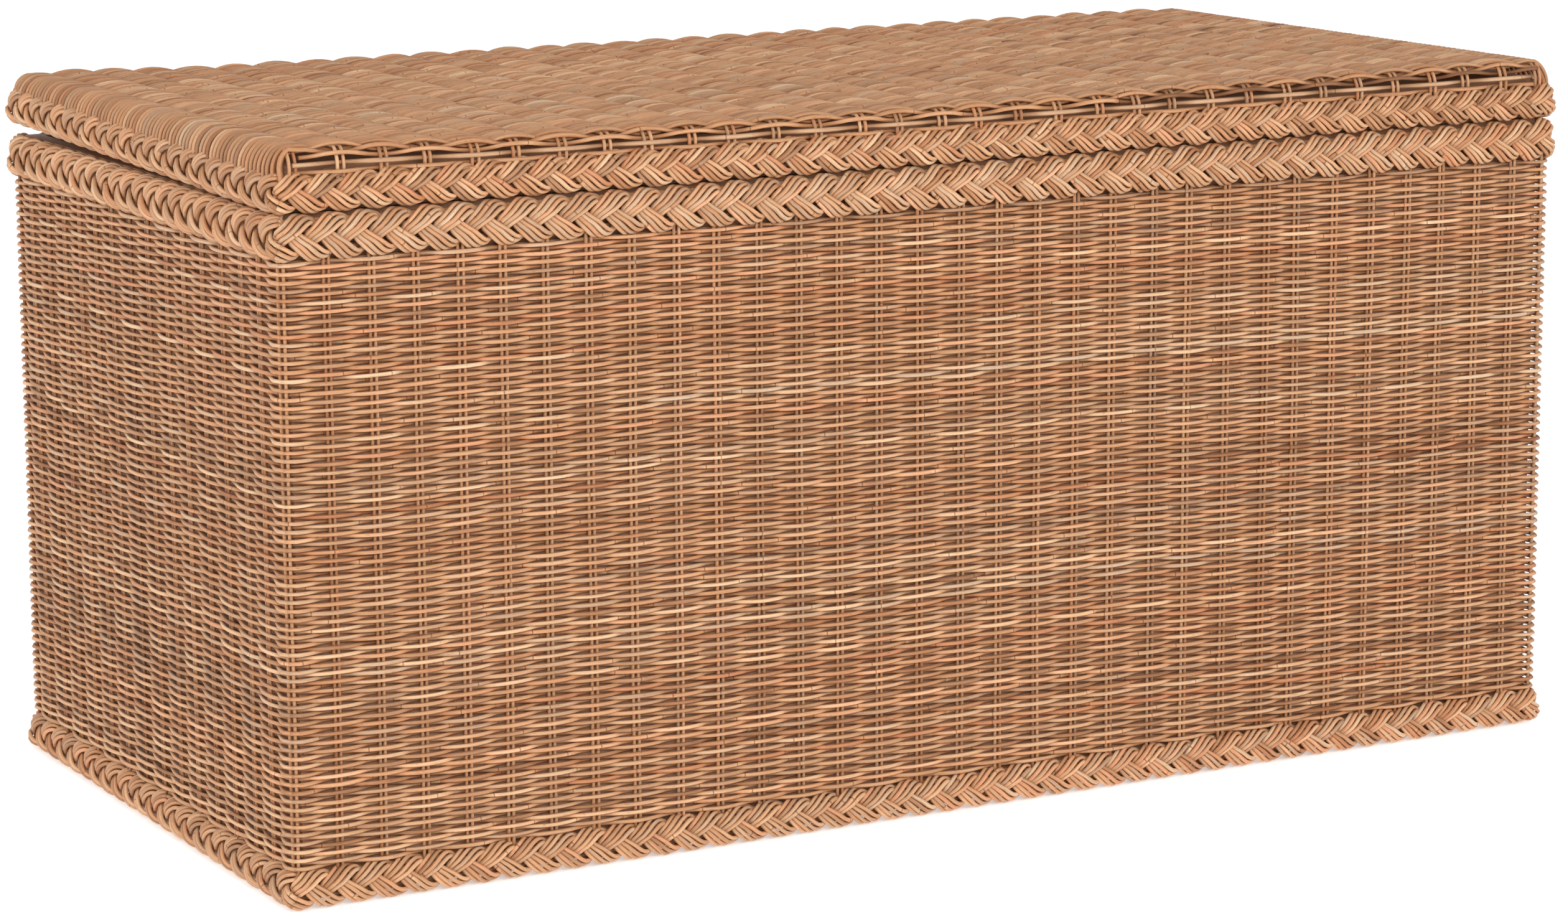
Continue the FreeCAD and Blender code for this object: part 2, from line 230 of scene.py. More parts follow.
class Loop:
    """A rounded rectangle seen from above. It starts at the middle of its front left corner."""

    def __init__(self, half_x, half_y, radius, arc_steps=24):
        self.half_x, self.half_y, self.radius = half_x, half_y, radius
        x, y, facing = [], [], []
        centres = ((-1, -1), (1, -1), (1, 1), (-1, 1), (-1, -1))
        starts = (-135, -90, 0, 90, 180)
        ends = (-90, 0, 90, 180, 225)
        for (cx, cy), a, b in zip(centres, starts, ends):
            turn = np.radians(np.linspace(a, b, arc_steps))
            x.append(cx * (half_x - radius) + radius * np.cos(turn))
            y.append(cy * (half_y - radius) + radius * np.sin(turn))
            facing.append(turn)
        self.x, self.y, self.facing = map(np.concatenate, (x, y, facing))
        step = np.hypot(np.diff(self.x), np.diff(self.y))
        self.s = np.concatenate([[0], np.cumsum(step)])
        self.length = self.s[-1]
        self.corners = [self._s_at(math.radians(a)) for a in (-135, -45, 45, 135, 225)]

    def _s_at(self, facing):
        return float(np.interp(facing, self.facing, self.s))

    def at(self, s):
        """x, y and the outward direction at distance s."""
        s = np.mod(s, self.length)
        facing = np.interp(s, self.s, self.facing)
        return np.interp(s, self.s, self.x), np.interp(s, self.s, self.y), np.cos(facing), np.sin(facing)


# ---------------------------------------------------------------- materials

def node(tree, kind, **values):
    made = tree.nodes.new("ShaderNode" + kind)
    for key, value in values.items():
        setattr(made, key, value)
    return made


def math_node(tree, operation, a, b=None, c=None, clamp=False):
    made = node(tree, "Math", operation=operation, use_clamp=clamp)
    for socket, value in zip(made.inputs, (a, b, c)):
        if value is None:
            continue
        if isinstance(value, (int, float)):
            socket.default_value = value
        else:
            tree.links.new(value, socket)
    return made.outputs[0]


def ramp(tree, factor, stops):
    made = node(tree, "ValToRGB")
    elements = made.color_ramp.elements
    while len(elements) < len(stops):
        elements.new(0.5)
    for element, (at, colour) in zip(elements, stops):
        element.position = at
        element.color = (*colour, 1)
    tree.links.new(factor, made.inputs[0])
    return made.outputs[0]


def remap(tree, value, low, high, to_low, to_high, smooth=False):
    made = node(tree, "MapRange", interpolation_type="SMOOTHSTEP" if smooth else "LINEAR")
    tree.links.new(value, made.inputs[0])
    for socket, number in zip(list(made.inputs)[1:5], (low, high, to_low, to_high)):
        socket.default_value = number
    return made.outputs[0]


def mix_colour(tree, blend, factor, a, b):
    made = node(tree, "Mix", data_type="RGBA", blend_type=blend)
    colours = [s for s in made.inputs if s.type == "RGBA"]
    for socket, value in ((made.inputs[0], factor), (colours[0], a), (colours[1], b)):
        if isinstance(value, (int, float)):
            socket.default_value = value
        elif isinstance(value, tuple):
            socket.default_value = (*value, 1)
        else:
            tree.links.new(value, socket)
    return next(s for s in made.outputs if s.type == "RGBA")


def noise(tree, vector, scale, detail=2.0, roughness=0.5):
    made = node(tree, "TexNoise")
    made.inputs["Scale"].default_value = scale
    made.inputs["Detail"].default_value = detail
    made.inputs["Roughness"].default_value = roughness
    tree.links.new(vector, made.inputs["Vector"])
    return made.outputs[0]


def new_material(name):
    material = bpy.data.materials.new(name)
    material.use_nodes = True
    tree = material.node_tree
    shader = next(n for n in tree.nodes if n.type == "BSDF_PRINCIPLED")
    return material, tree, shader


CANE_TONES = (
    (0.00, (0.200, 0.084, 0.034)),
    (0.22, (0.370, 0.176, 0.086)),
    (0.45, (0.510, 0.270, 0.142)),
    (0.70, (0.610, 0.358, 0.207)),
    (1.00, (0.735, 0.500, 0.320)),
)
CANE_HUES = (
    (0.00, (0.86, 0.92, 0.98)),
    (0.35, (1.00, 1.00, 0.96)),
    (0.70, (1.05, 0.97, 0.88)),
    (1.00, (1.09, 0.92, 0.84)),
)


def cane_material(name, brightness=1.0, recess_shade=0.70, roughness=0.46):
    """Peeled cane. tone and hue differ rod by rod, and fibres, joints and stains run along each rod. Parts of
    a rod that lie deeper in the weave get painted shade.
    """
    material, tree, shader = new_material(name)
    strand = node(tree, "Attribute", attribute_name="strand")
    tone_and_shade = node(tree, "Attribute", attribute_name="tone_and_shade")
    place_on = node(tree, "SeparateXYZ")
    tree.links.new(strand.outputs["Vector"], place_on.inputs[0])
    rod = node(tree, "SeparateXYZ")
    tree.links.new(tone_and_shade.outputs["Vector"], rod.inputs[0])
    along, tone, hue, shade_depth = place_on.outputs[0], rod.outputs[0], rod.outputs[1], rod.outputs[2]
    own = math_node(tree, "MULTIPLY_ADD", hue, 31.7, along)
    own = math_node(tree, "MULTIPLY_ADD", tone, 57.3, own)
    grain_at = node(tree, "CombineXYZ")
    tree.links.new(math_node(tree, "MULTIPLY", own, 24.0), grain_at.inputs[0])
    tree.links.new(math_node(tree, "MULTIPLY", place_on.outputs[1], 2.2), grain_at.inputs[1])
    tree.links.new(math_node(tree, "MULTIPLY", place_on.outputs[2], 2.2), grain_at.inputs[2])
    blotch_at = node(tree, "CombineXYZ")
    tree.links.new(math_node(tree, "MULTIPLY", own, 70.0), blotch_at.inputs[0])
    tree.links.new(math_node(tree, "MULTIPLY", place_on.outputs[1], 0.5), blotch_at.inputs[1])
    tree.links.new(math_node(tree, "MULTIPLY", place_on.outputs[2], 0.5), blotch_at.inputs[2])
    fibres = noise(tree, grain_at.outputs[0], 1.0, 3.0, 0.6)
    blotches = noise(tree, blotch_at.outputs[0], 0.55, 3.0, 0.55)
    specks = noise(tree, blotch_at.outputs[0], 4.0, 1.0)
    shade = math_node(tree, "MULTIPLY_ADD", blotches, 0.55, tone)
    shade = math_node(tree, "SUBTRACT", shade, 0.275, clamp=True)
    colour = ramp(tree, shade, CANE_TONES)
    colour = mix_colour(tree, "MULTIPLY", 1.0, colour, ramp(tree, hue, CANE_HUES))
    joint = math_node(tree, "FRACT", math_node(tree, "MULTIPLY", own, 6.1))
    joint = math_node(tree, "ABSOLUTE", math_node(tree, "SUBTRACT", joint, 0.5))
    ring = remap(tree, joint, 0.0, 0.0042, 1.0, 0.0, smooth=True)
    near = remap(tree, joint, 0.0, 0.030, 1.0, 0.0, smooth=True)
    dark = remap(tree, fibres, 0.30, 0.62, 0.80, 1.06)
    dark = math_node(tree, "MULTIPLY", dark, remap(tree, specks, 0.66, 0.74, 1.0, 0.72, smooth=True))
    dark = math_node(tree, "MULTIPLY", dark, remap(tree, ring, 0.0, 1.0, 1.0, 0.42))
    dark = math_node(tree, "MULTIPLY", dark, remap(tree, near, 0.0, 1.0, 1.0, 1.10))
    # Painted shade: a rod is painted darker where it lies deep in the weave, behind the canes and the other
    # rods.
    dark = math_node(tree, "MULTIPLY", dark, remap(tree, shade_depth, -1.0, 0.6, recess_shade, 1.0, smooth=True))
    dark = math_node(tree, "MULTIPLY", dark, brightness)
    # Shaded cane turns browner, as its own light bounces between the rods.
    shade = node(tree, "CombineXYZ")
    tree.links.new(dark, shade.inputs[0])
    tree.links.new(math_node(tree, "POWER", dark, 1.35), shade.inputs[1])
    tree.links.new(math_node(tree, "POWER", dark, 1.80), shade.inputs[2])
    colour = mix_colour(tree, "MULTIPLY", 1.0, colour, shade.outputs[0])
    tree.links.new(colour, shader.inputs["Base Color"])
    rough = remap(tree, fibres, 0.3, 0.7, roughness + 0.10, roughness - 0.06)
    tree.links.new(rough, shader.inputs["Roughness"])
    shader.inputs["Specular IOR Level"].default_value = 0.30
    shader.inputs["Coat Weight"].default_value = 0.05
    shader.inputs["Coat Roughness"].default_value = 0.30
    height = math_node(tree, "MULTIPLY_ADD", near, 0.9, fibres)
    height = math_node(tree, "MULTIPLY_ADD", ring, -0.8, height)
    bump = node(tree, "Bump")
    bump.inputs["Strength"].default_value = 0.35
    bump.inputs["Distance"].default_value = 0.0003
    tree.links.new(height, bump.inputs["Height"])
    tree.links.new(bump.outputs[0], shader.inputs["Normal"])
    return material


def wood_material(name, grain_axis, dark, light):
    """Stained softwood board: long grain, finer pores and worn, paler patches."""
    material, tree, shader = new_material(name)
    where = node(tree, "TexCoord")
    stretch = node(tree, "Mapping")
    scale = [46.0, 46.0, 46.0]
    scale[grain_axis] = 3.2
    stretch.inputs["Scale"].default_value = scale
    tree.links.new(where.outputs["Object"], stretch.inputs["Vector"])
    fine = node(tree, "Mapping")
    scale = [420.0, 420.0, 420.0]
    scale[grain_axis] = 16.0
    fine.inputs["Scale"].default_value = scale
    tree.links.new(where.outputs["Object"], fine.inputs["Vector"])
    grain = noise(tree, stretch.outputs[0], 1.0, 6.0, 0.6)
    pores = noise(tree, fine.outputs[0], 1.0, 2.0)
    wear = noise(tree, where.outputs["Object"], 9.0, 3.0)
    bands = math_node(tree, "FRACT", math_node(tree, "MULTIPLY", grain, 5.0))
    bands = remap(tree, bands, 0.0, 1.0, 0.25, 0.85)
    mixed = math_node(tree, "MULTIPLY_ADD", pores, 0.35, bands)
    mixed = math_node(tree, "MULTIPLY_ADD", wear, 0.3, mixed)
    colour = ramp(tree, math_node(tree, "MULTIPLY", mixed, 0.72), ((0.15, dark), (0.85, light)))
    tree.links.new(colour, shader.inputs["Base Color"])
    tree.links.new(remap(tree, pores, 0.3, 0.7, 0.62, 0.48), shader.inputs["Roughness"])
    bump = node(tree, "Bump")
    bump.inputs["Strength"].default_value = 0.25
    bump.inputs["Distance"].default_value = 0.0004
    tree.links.new(math_node(tree, "ADD", pores, bands), bump.inputs["Height"])
    tree.links.new(bump.outputs[0], shader.inputs["Normal"])
    return material


def metal_material(name, colour, dull, rough):
    """Metal with brushed streaks and dull spots."""
    material, tree, shader = new_material(name)
    where = node(tree, "TexCoord")
    stretch = node(tree, "Mapping")
    stretch.inputs["Scale"].default_value = (60.0, 900.0, 900.0)
    tree.links.new(where.outputs["Object"], stretch.inputs["Vector"])
    streaks = noise(tree, stretch.outputs[0], 1.0, 2.0)
    spots = noise(tree, where.outputs["Object"], 260.0, 3.0)
    worn = remap(tree, spots, 0.45, 0.65, 0.0, 1.0, smooth=True)
    tree.links.new(mix_colour(tree, "MIX", worn, colour, dull), shader.inputs["Base Color"])
    shader.inputs["Metallic"].default_value = 1.0
    tree.links.new(remap(tree, streaks, 0.3, 0.7, rough - 0.08, rough + 0.14), shader.inputs["Roughness"])
    return material


# ---------------------------------------------------------------- strands of a row

def pick_tone(rng):
    """Tone and hue of one rod: mostly honey, with some pale straw and some dark ones."""
    tone = float(np.clip(rng.normal(0.56, 0.17), 0.05, 0.98))
    hue = float(np.clip(rng.normal(0.48, 0.26), 0.0, 1.0))
    return tone, hue


class Strands:
    """Cuts a closed row into lengths of cane, each with its own colour and thickness."""

    def __init__(self, rng, count, per_space, spaces, parity):
        inside = np.arange(spaces)
        inside = inside[inside % 2 != parity]
        cuts = np.sort(rng.choice(inside, count, replace=False))
        self.cuts = cuts * per_space
        self.looks = [(*pick_tone(rng), rng.uniform(0.90, 1.08), rng.uniform(0, 3)) for _ in cuts]

    def between(self, start, stop):
        """(from, to, look, cut at from, cut at to) for each strand inside start..stop."""
        edges = [c for c in self.cuts if start < c < stop]
        spans = list(zip([start, *edges], [*edges, stop]))
        for a, b in spans:
            i = int(np.searchsorted(self.cuts, a, side="right")) - 1
            yield a, b, self.looks[i], a in edges, b in edges


# ---------------------------------------------------------------- walls

def make_walls(weave, cane):
    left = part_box("left_weave")
    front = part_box("front_weave")
    bottom, top = node_span("front_weave", 2)
    thickness = left[1].x - left[0].x
    outer_x, outer_y = -front[0].x, -front[0].y
    corner = WALL_CORNER_RADIUS - thickness / 2
    half_x, half_y = outer_x - thickness / 2, outer_y - thickness / 2
    loop = Loop(half_x, half_y, corner)
    front_x = -half_x + np.arange(1, FRONT_SPACES) * 2 * half_x / FRONT_SPACES
    end_y = -half_y + np.arange(1, END_SPACES) * 2 * half_y / END_SPACES
    c = loop.corners
    half_arc = corner * math.pi / 4
    stations = [0.0]
    stations += list(c[0] + half_arc + front_x + half_x - corner)
    stations.append(c[1])
    stations += list(c[1] + half_arc + end_y + half_y - corner)
    stations.append(c[2])
    stations += list(c[2] + half_arc + front_x + half_x - corner)
    stations.append(c[3])
    stations += list(c[3] + half_arc + end_y + half_y - corner)
    stations.append(loop.length)
    stations = np.array(stations)
    total = len(stations) - 1
    quarter = np.cumsum([0, FRONT_SPACES, END_SPACES, FRONT_SPACES, END_SPACES])
    jitter = RNG.normal(0, 1.1 * MM, total + 1)
    jitter[quarter] = 0.0
    jitter[-1] = jitter[0]
    stations = stations + jitter

    u = np.arange(total * SAMPLES_PER_SPACE + 1) / SAMPLES_PER_SPACE
    s = np.interp(u, np.arange(total + 1), stations)
    rows = int(round((top - bottom) / WALL_ROW_PITCH))
    pitch = (top - bottom) / rows
    sag_phase = RNG.uniform(0, 2 * math.pi, 4)
    bundles = {(side, part): Bundle() for side in range(4) for part in range(2)}
    for row in range(rows):
        height = bottom + (row + 0.5) * pitch
        parity = row % 2
        sign = 1 - 2 * parity
        level = (height - bottom) / (top - bottom)
        ease = math.sin(math.pi * level) ** 0.5
        wave = ease * (
            0.9 * MM * np.sin(2 * math.pi * 3 * s / loop.length + sag_phase[0] + 2 * level)
            + 0.7 * MM * np.sin(2 * math.pi * 8 * s / loop.length + sag_phase[1] - 3 * level)
            + 0.4 * MM * np.sin(2 * math.pi * 19 * s / loop.length + sag_phase[2] + 5 * level)
        )
        knots = RNG.normal(0, 0.20 * MM, total + 1)
        knots[-1] = knots[0]
        own_wave = np.interp(u, np.arange(total + 1), knots)
        reach = WEAVE_AMPLITUDE * RNG.normal(1.0, 0.05, total + 1)
        reach[-1] = reach[0]
        swing = np.cos(math.pi * u)
        # Rods lie flat over a pair and cross steeply between pairs.
        swing = sign * np.sign(swing) * np.abs(swing) ** CROSSING_SHARPNESS
        depth = swing * np.interp(u, np.arange(total + 1), reach)
        x, y, nx, ny = loop.at(s)
        points = np.stack([x + nx * depth, y + ny * depth, height + wave + own_wave], 1)
        ring = np.vstack([points[-2], points, points[1]])
        tangents = (ring[2:] - ring[:-2]) / 2
        along = lengths(points)
        strands = Strands(RNG, int(RNG.integers(3, 6)), SAMPLES_PER_SPACE, total, parity)
        for side in range(4):
            bundle = bundles[side, int(level > 0.5) if side in (0, 2) else 0]
            start, stop = quarter[side] * SAMPLES_PER_SPACE, quarter[side + 1] * SAMPLES_PER_SPACE
            for a, b, (tone, hue, thick, shift), cut_a, cut_b in strands.between(start, stop):
                lo, hi = max(a - 2 * cut_a, start), min(b + 2 * cut_b, stop)
                part = slice(lo, hi + 1)
                p = points[part].copy()
                inward = np.stack([-nx[part], -ny[part], 0 * nx[part]], 1)
                tones = np.full(len(p), tone)
                # Most ends are tucked behind a pair. Some stop in front, cut off square, with a pale face.
                if cut_a:
                    shown = RNG.random() < SHOWN_ENDS
                    p[:3] += inward[:3] * (START_SHOWN if shown else START_TUCKED)
                    tones[0] += CUT_FACE_TONE * shown
                if cut_b:
                    shown = RNG.random() < SHOWN_ENDS
                    p[-3:] += inward[-3:] * (STOP_SHOWN if shown else STOP_TUCKED)
                    tones[-1] += CUT_FACE_TONE * shown
                radius = WEAVER_RADIUS * thick * (1 + smooth_noise(along[part], 0.06, 0.05, RNG))
                # swing also sets the painted shade: a rod is painted darker where it passes behind the canes.
                bundle.add(
                    p, tangents[part], UP, radius, along[part] + shift,
                    tones, hue, swing[part],
                )
    for (side, part), bundle in bundles.items():
        if bundle.parts:
            label = SIDES[side] + "_weave" + (("_lower", "_upper")[part] if side in (0, 2) else "_rods")
            place(bundle, label, weave, "chest", [SIDES[side] + "_weave"])

    z = np.linspace(bottom - 4 * MM, top + 5 * MM, 30)
    for side in range(4):
        bundle = Bundle()
        first, last = quarter[side], quarter[side + 1]
        # Each long side carries the cane pairs of its two corners.
        stands = range(first, last + 1) if side in (0, 2) else range(first + 1, last)
        for i in stands:
            lean = smooth_noise(z, 0.12, 0.5 * MM, RNG)
            spread = CANE_SPREAD / 2 * (1 + smooth_noise(z, 0.09, 0.10, RNG))
            for half in (-1, 1):
                at = stations[i] + half * spread + lean
                x, y, nx, ny = loop.at(at)
                points = np.stack([x, y, z], 1)
                tone, hue = pick_tone(RNG)
                radius = CANE_RADIUS * RNG.uniform(0.93, 1.05)
                bundle.add(
                    points, slopes(points), np.stack([nx, ny, 0 * nx], 1), radius,
                    z + RNG.uniform(0, 3), tone, hue, 0.1,
                )
        place(bundle, SIDES[side] + "_cane_rods", cane, "chest", [SIDES[side] + "_canes"])


# ---------------------------------------------------------------- plaits

def strand_path(turn, soft):
    """Height and depth of one plait strand from -1 to 1, and how far it is on show, at phases in turns.

    A strand climbs slowly on the outside to its crest, goes over the edge and drops back quickly behind.
    """
    fine = np.arange(PATH_STEPS) / PATH_STEPS
    half = fine * 2 % 1
    side = np.where(fine < 0.5, 1.0, -1.0)
    climb = half < PLAIT_CREST
    rise = (1 - PLAIT_EASE) * half / PLAIT_CREST + PLAIT_EASE * np.sin(math.pi / 2 * half / PLAIT_CREST)
    height = side * np.where(climb, rise, (1 - half) / (1 - PLAIT_CREST))
    outside = np.sin(math.pi * half / PLAIT_CREST)
    behind = -np.sin(math.pi * (half - PLAIT_CREST) / (1 - PLAIT_CREST))
    depth = np.where(climb, outside, behind)
    show = np.where(climb, 1.0, 0.0)
    away = np.minimum(fine, 1 - fine)
    blur = np.exp(-0.5 * (away / soft) ** 2)
    blur = np.fft.rfft(blur / blur.sum())
    around = np.concatenate([fine, [1.0]])
    smoothed = [np.fft.irfft(np.fft.rfft(v) * blur, PATH_STEPS) for v in (height, depth, show)]
    return [np.interp(turn % 1, around, np.append(v, v[0])) for v in smoothed]


def core_rods(bundles, out_x, out_y, half_height, middle):
    """Long rods inside a border, on which the plait is worked."""
    loop = Loop(out_x - CORE_INSET, out_y - CORE_INSET, CORE_CORNER_RADIUS)
    s = np.linspace(0, loop.length, CORE_STEPS)
    x, y = loop.at(s)[:2]
    for z in np.linspace(CORE_BOTTOM_GAP - half_height, half_height - CORE_TOP_GAP, CORE_RODS):
        wave = smooth_noise(s, 0.08, 0.4 * MM, RNG)
        points = np.stack([x, y, np.full(len(s), middle + z) + wave], 1)
        tangents, along = slopes(points), lengths(points)
        for side, bundle in enumerate(bundles):
            start, stop = loop.corners[side] - CORE_OVERLAP, loop.corners[side + 1] + CORE_OVERLAP
            inside = (s >= start) & (s <= stop)
            bundle.add(
                points[inside], tangents[inside], UP, CORE_RADIUS, along[inside],
                CORE_TONE, CORE_HUE, 0.2, PLAIT_SIDES,
            )


def plait(ring, body, material, half_height, middle, amplitude, flare, lean=None):
    """A three-strand plait of flat strands round the trunk, one piece per side, flared at its foot."""
    out_x, out_y = -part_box("rim_plait_left")[0].x, -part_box("rim_plait_front")[0].y
    inset = PLAIT_DEPTH + PLAIT_ROD_RADIUS + 0.4 * MM
    loop = Loop(out_x - inset, out_y - inset, PLAIT_CORNER_RADIUS - inset)
    chevrons = int(round(loop.length / CHEVRON_PITCH))
    period = 3 * loop.length / chevrons
    roll = PLAIT_ROLL
    flat = half_height - roll - PLAIT_MARGIN
    steps = chevrons * PLAIT_STEPS // 3 + 1
    bundles = [Bundle() for _ in SIDES]
    step = loop.length / (steps - 1)
    t = np.arange(steps) * step
    margin = 3
    t = np.concatenate([t[-1 - margin:-1] - loop.length, t, t[1:1 + margin] + loop.length])
    for strand in range(3):
        height, depth, show = strand_path(t / period + strand / 3, PLAIT_BLUR)
        a = amplitude * height * (1 + smooth_noise(t, 0.030, 0.05, RNG))
        tilt_angle = np.arctan(np.gradient(amplitude * height, t)) * show
        weave = PLAIT_DEPTH * depth
        for rod in range(PLAIT_RODS):
            off = (rod - (PLAIT_RODS - 1) / 2) * PLAIT_ROD_SPACING
            off = off + smooth_noise(t, 0.035, 0.18 * MM, RNG)
            at = t - np.sin(tilt_angle) * off
            across = a + np.cos(tilt_angle) * off
            d = weave - PLAIT_ARCH * (off / (2 * PLAIT_ROD_SPACING)) ** 2
            d = d + smooth_noise(t, 0.03, 0.30 * MM, RNG)
            over = np.clip(np.abs(across) - flat, 0, None) / roll
            rise = np.sign(across) * (np.minimum(np.abs(across), flat) + (roll + d) * np.sin(over))
            out = (roll + d) * np.cos(over) - roll - flare * np.clip(across / half_height, -1, 0)
            x, y, nx, ny = loop.at(at)
            tilt = np.sin(over) * np.sign(across)
            points = np.stack([x + nx * out, y + ny * out, middle + rise], 1)
            ups = np.stack([nx * np.cos(over), ny * np.cos(over), tilt], 1)
            tangents = slopes(points)
            along = lengths(points)
            # Painted shade: a plait strand is painted darker where it drops behind the other strands.
            shade_depth = np.clip(depth * 0.8 + 0.25, -1, 1)
            cuts = np.cumsum(RNG.uniform(0.22, 0.60, 24))
            cuts = [0, *(int(c / step) for c in cuts if c < loop.length - 0.1), len(t) - 1]
            for first, last in zip(cuts[:-1], cuts[1:]):
                tone, hue = pick_tone(RNG)
                thick = RNG.uniform(0.94, 1.08)
                shift = RNG.uniform(0, 3)
                for side in range(4):
                    c0, c1 = loop.corners[side], loop.corners[side + 1]
                    inside = np.nonzero((t >= c0 - step * 0.5) & (t <= c1 + step * 0.5))[0]
                    lo, hi = max(first, inside[0]), min(last, inside[-1])
                    if hi - lo < 2:
                        continue
                    part = slice(lo, hi + 1)
                    p, r = points[part].copy(), PLAIT_ROD_RADIUS * thick * np.ones(hi - lo + 1)
                    if hi == last and last < len(t) - 1:
                        r[-1] *= CUT_TAPER
                    bundles[side].add(
                        p, tangents[part], ups[part], r, along[part] + shift,
                        tone, hue, shade_depth[part], PLAIT_SIDES,
                    )
    core_rods(bundles, out_x, out_y, half_height, middle)
    for side, bundle in zip(SIDES, bundles):
        if lean is not None:
            lean_bundle(bundle, lean)
        place(bundle, ring + "_" + side + "_strands", material, body, [ring + "_" + side])


# ---------------------------------------------------------------- lid

class Lean:
    """The lid's forward lean at rest, about its hinge pins."""

    def __init__(self):
        self.pivot = np.array(frame["joints"][0]["pos_m"], float)
        co = np.array([v.co for v in frame["nodes"]["lid_bar_left"].data.vertices], float)
        middle = co[:, 1].mean()
        run = co[co[:, 1] > middle].mean(0) - co[co[:, 1] < middle].mean(0)
        self.angle = math.atan2(run[2], run[1])
        c, s = math.cos(self.angle), math.sin(self.angle)
        self.turn = np.array([[1, 0, 0], [0, c, -s], [0, s, c]])

    def points(self, p):
        return (p - self.pivot) @ self.turn.T + self.pivot

    def level(self, p):
        return (np.asarray(p, float) - self.pivot) @ self.turn + self.pivot


def lean_bundle(bundle, lean):
    bundle.parts = [
        (lean.points(p), t @ lean.turn.T, u @ lean.turn.T, *rest) for p, t, u, *rest in bundle.parts
    ]


def level_span(name, lean, axis):
    """A lid node's extent along one axis with the lid level."""
    co = lean.level([v.co for v in frame["nodes"][name].data.vertices])
    return co[:, axis].min(), co[:, axis].max()


def settle(x, y, half_y):
    """How high the soft lid top sits: higher at the front and the left end, lower at the back."""
    x, forward = np.asarray(x, float), -y / half_y
    left = np.clip((-x - LID_LEFT_RISE_START) / LID_LEFT_RISE_RUN, 0, 1)
    right = np.clip(x / LID_RIGHT_RISE_RUN, 0, 1) * np.clip(0.5 + forward / 2, 0, 1)
    return LID_SAG * forward + LID_LEFT_RISE * left * left * (3 - 2 * left) + LID_RIGHT_RISE * right


